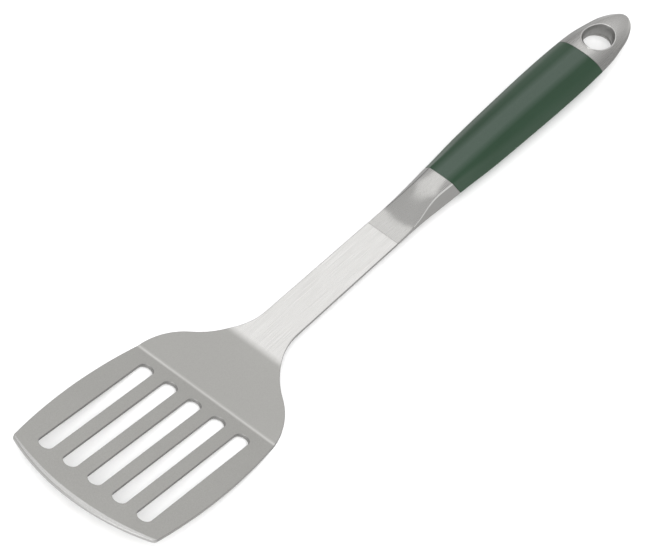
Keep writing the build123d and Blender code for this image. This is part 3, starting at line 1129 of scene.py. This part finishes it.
# Steel by name: dark and light tones, roughness, grain per mm along each axis, its depth in mm, and
# for the cap a painted shade towards its side edges
STEELS = {
    "sheared_edge": ((0.27, 0.267, 0.26), (0.34, 0.337, 0.33), 0.5, (3.0, 3.0, 0.4), 0.006),
    "ground_edge": ((0.40, 0.397, 0.39), (0.48, 0.477, 0.47), 0.28, ALONG_FRONT, 0.004),
    "front_edge": ((0.33, 0.327, 0.32), (0.40, 0.397, 0.39), 0.36, ALONG_FRONT, 0.002),
    "fitting_satin": ((0.37, 0.366, 0.357), (0.415, 0.41, 0.40), 0.27, ALONG_HANDLE, 0.003),
    # painted light on the ferrule: darker side facets, a bright −Y ridge and a dark +Y ridge
    "fitting_painted_shade_side": ((0.25, 0.247, 0.24), (0.30, 0.297, 0.29), 0.34, ALONG_HANDLE, 0.003),
    "fitting_painted_highlight_ridge": ((0.55, 0.545, 0.535), (0.62, 0.615, 0.605), 0.3, ALONG_HANDLE, 0.002),
    "painted_shade_ridge": ((0.14, 0.138, 0.135), (0.20, 0.198, 0.195), 0.5, ALONG_HANDLE, 0.004),
    # the cap's satin steel is darkened towards both side edges by a painted shade
    "cap_satin_painted_shade": ((0.42, 0.415, 0.405), (0.47, 0.465, 0.455), 0.27, ALONG_HANDLE, 0.003,
                  ((0.25, 0.248, 0.24), 5.0, 11.0)),
    "eyelet_wall": ((0.34, 0.338, 0.33), (0.55, 0.547, 0.535), 0.5, (1.2, 1.2, 0.5), 0.02),
    "eyelet_lip": ((0.52, 0.515, 0.505), (0.60, 0.595, 0.585), 0.35, (0.6, 0.6, 2.0), 0.002),
    "pin_steel": ((0.5, 0.49, 0.48), (0.6, 0.59, 0.58), 0.3, (3, 3, 0.3), 0.004),
}
blade_sheet = sheet_steel("blade_sheet")
steels = {name: steel(name, *finish) for name, finish in STEELS.items()}


def these(*names):
    """Steels by name, in order."""
    return [steels[name] for name in names]


# ---------- the tool
make_blade([blade_sheet, *these("sheared_edge", "ground_edge", "front_edge")])
ferrule_steels = these("fitting_satin", "fitting_painted_shade_side", "fitting_painted_highlight_ridge", "painted_shade_ridge")
make_ferrule_half("upper_ferrule", "ferrule_upper", 1, ferrule_steels)
make_ferrule_half("lower_ferrule", "ferrule_lower", -1, ferrule_steels)
make_grip(rubber("grip_rubber"))
make_cap_half("upper_cap", "cap_upper", 1, steels["cap_satin_painted_shade"])
make_cap_half("lower_cap", "cap_lower", -1, steels["cap_satin_painted_shade"])
make_eyelet(these("eyelet_wall", "eyelet_lip"))
paint_node("handle_core", moulded("core_nylon", NYLON))
paint_node("tang_pins", steels["pin_steel"])

# ---------- stage
FLOOR_REACH = 4.0            # half its width, in metres
FLOOR_TONES = (0.93, 0.93, 0.93), (0.95, 0.95, 0.95)
FLOOR_CLOUDS = (3, 3, 3)     # per metre
WORLD_STRENGTH = 0.95
CAMERA_AIM = (-31.3, -1.6, 7.5)      # in mm, as the distance is
CAMERA_DISTANCE = 1905.0
CAMERA_AZIMUTH = 199.22      # direction from the aim to the camera, anticlockwise from +X
CAMERA_ELEVATION = 43.92
CAMERA_ROLL = 21.92
CAMERA_LENS = 214.6


def away(azimuth, elevation):
    """Unit vector at an azimuth from +X and an elevation, in degrees."""
    a, e = math.radians(azimuth), math.radians(elevation)
    return Vector((math.cos(a) * math.cos(e), math.sin(a) * math.cos(e), math.sin(e)))


def make_camera():
    """Camera at the photograph's viewing angle."""
    back = away(CAMERA_AZIMUTH, CAMERA_ELEVATION)
    level = Vector((0, 0, 1)).cross(back).normalized()
    roll = math.radians(CAMERA_ROLL)
    right = level * math.cos(roll) + back.cross(level) * math.sin(roll)
    rotation = Matrix((right, back.cross(right), back)).transposed()
    data = bpy.data.cameras.new("camera")
    data.lens = CAMERA_LENS
    camera = bpy.data.objects.new("camera", data)
    place = (Vector(CAMERA_AIM) + back * CAMERA_DISTANCE) * MM
    camera.matrix_world = Matrix.Translation(place) @ rotation.to_4x4()
    bpy.context.scene.collection.objects.link(camera)
    bpy.context.scene.camera = camera


def make_floor():
    """Plain pale floor."""
    mesh = bpy.data.meshes.new("floor")
    corners = [(x * FLOOR_REACH, y * FLOOR_REACH, 0)
               for x, y in ((-1, -1), (1, -1), (1, 1), (-1, 1))]
    mesh.from_pydata(corners, [], [(0, 1, 2, 3)])
    shader = Shader("floor", Roughness=0.9)
    tone = shader.noise(FLOOR_CLOUDS, detail=2.0)
    shader.link(shader.blended(tone, *FLOOR_TONES), "Base Color")
    mesh.materials.append(shader.material)
    floor = bpy.data.objects.new("floor", mesh)
    bpy.context.scene.collection.objects.link(floor)


def soft_light(name, azimuth, elevation, distance, size, power):
    """Soft box that faces the tool, at a distance and of a size in metres."""
    data = bpy.data.lights.new(name, "AREA")
    data.shape = "RECTANGLE"
    data.size, data.size_y = size
    data.energy = power
    light = bpy.data.objects.new(name, data)
    place = away(azimuth, elevation)
    light.location = place * distance
    light.rotation_euler = place.to_track_quat("Z", "Y").to_euler()
    bpy.context.scene.collection.objects.link(light)


def make_studio():
    """Even pale surroundings, a panel beyond the handle and a broad key light over the blade."""
    world = bpy.data.worlds.new("studio")
    world.use_nodes = True
    background = world.node_tree.nodes["Background"]
    background.inputs["Color"].default_value = (1, 1, 1, 1)
    background.inputs["Strength"].default_value = WORLD_STRENGTH
    bpy.context.scene.world = world
    bpy.context.scene.view_settings.view_transform = "Standard"
    soft_light("panel", azimuth=19.5, elevation=49.5, distance=2.4, size=(0.9, 1.25), power=3.1)
    soft_light("key", azimuth=199, elevation=45, distance=2.6, size=(1.6, 1.6), power=60)


make_camera()
make_floor()
make_studio()
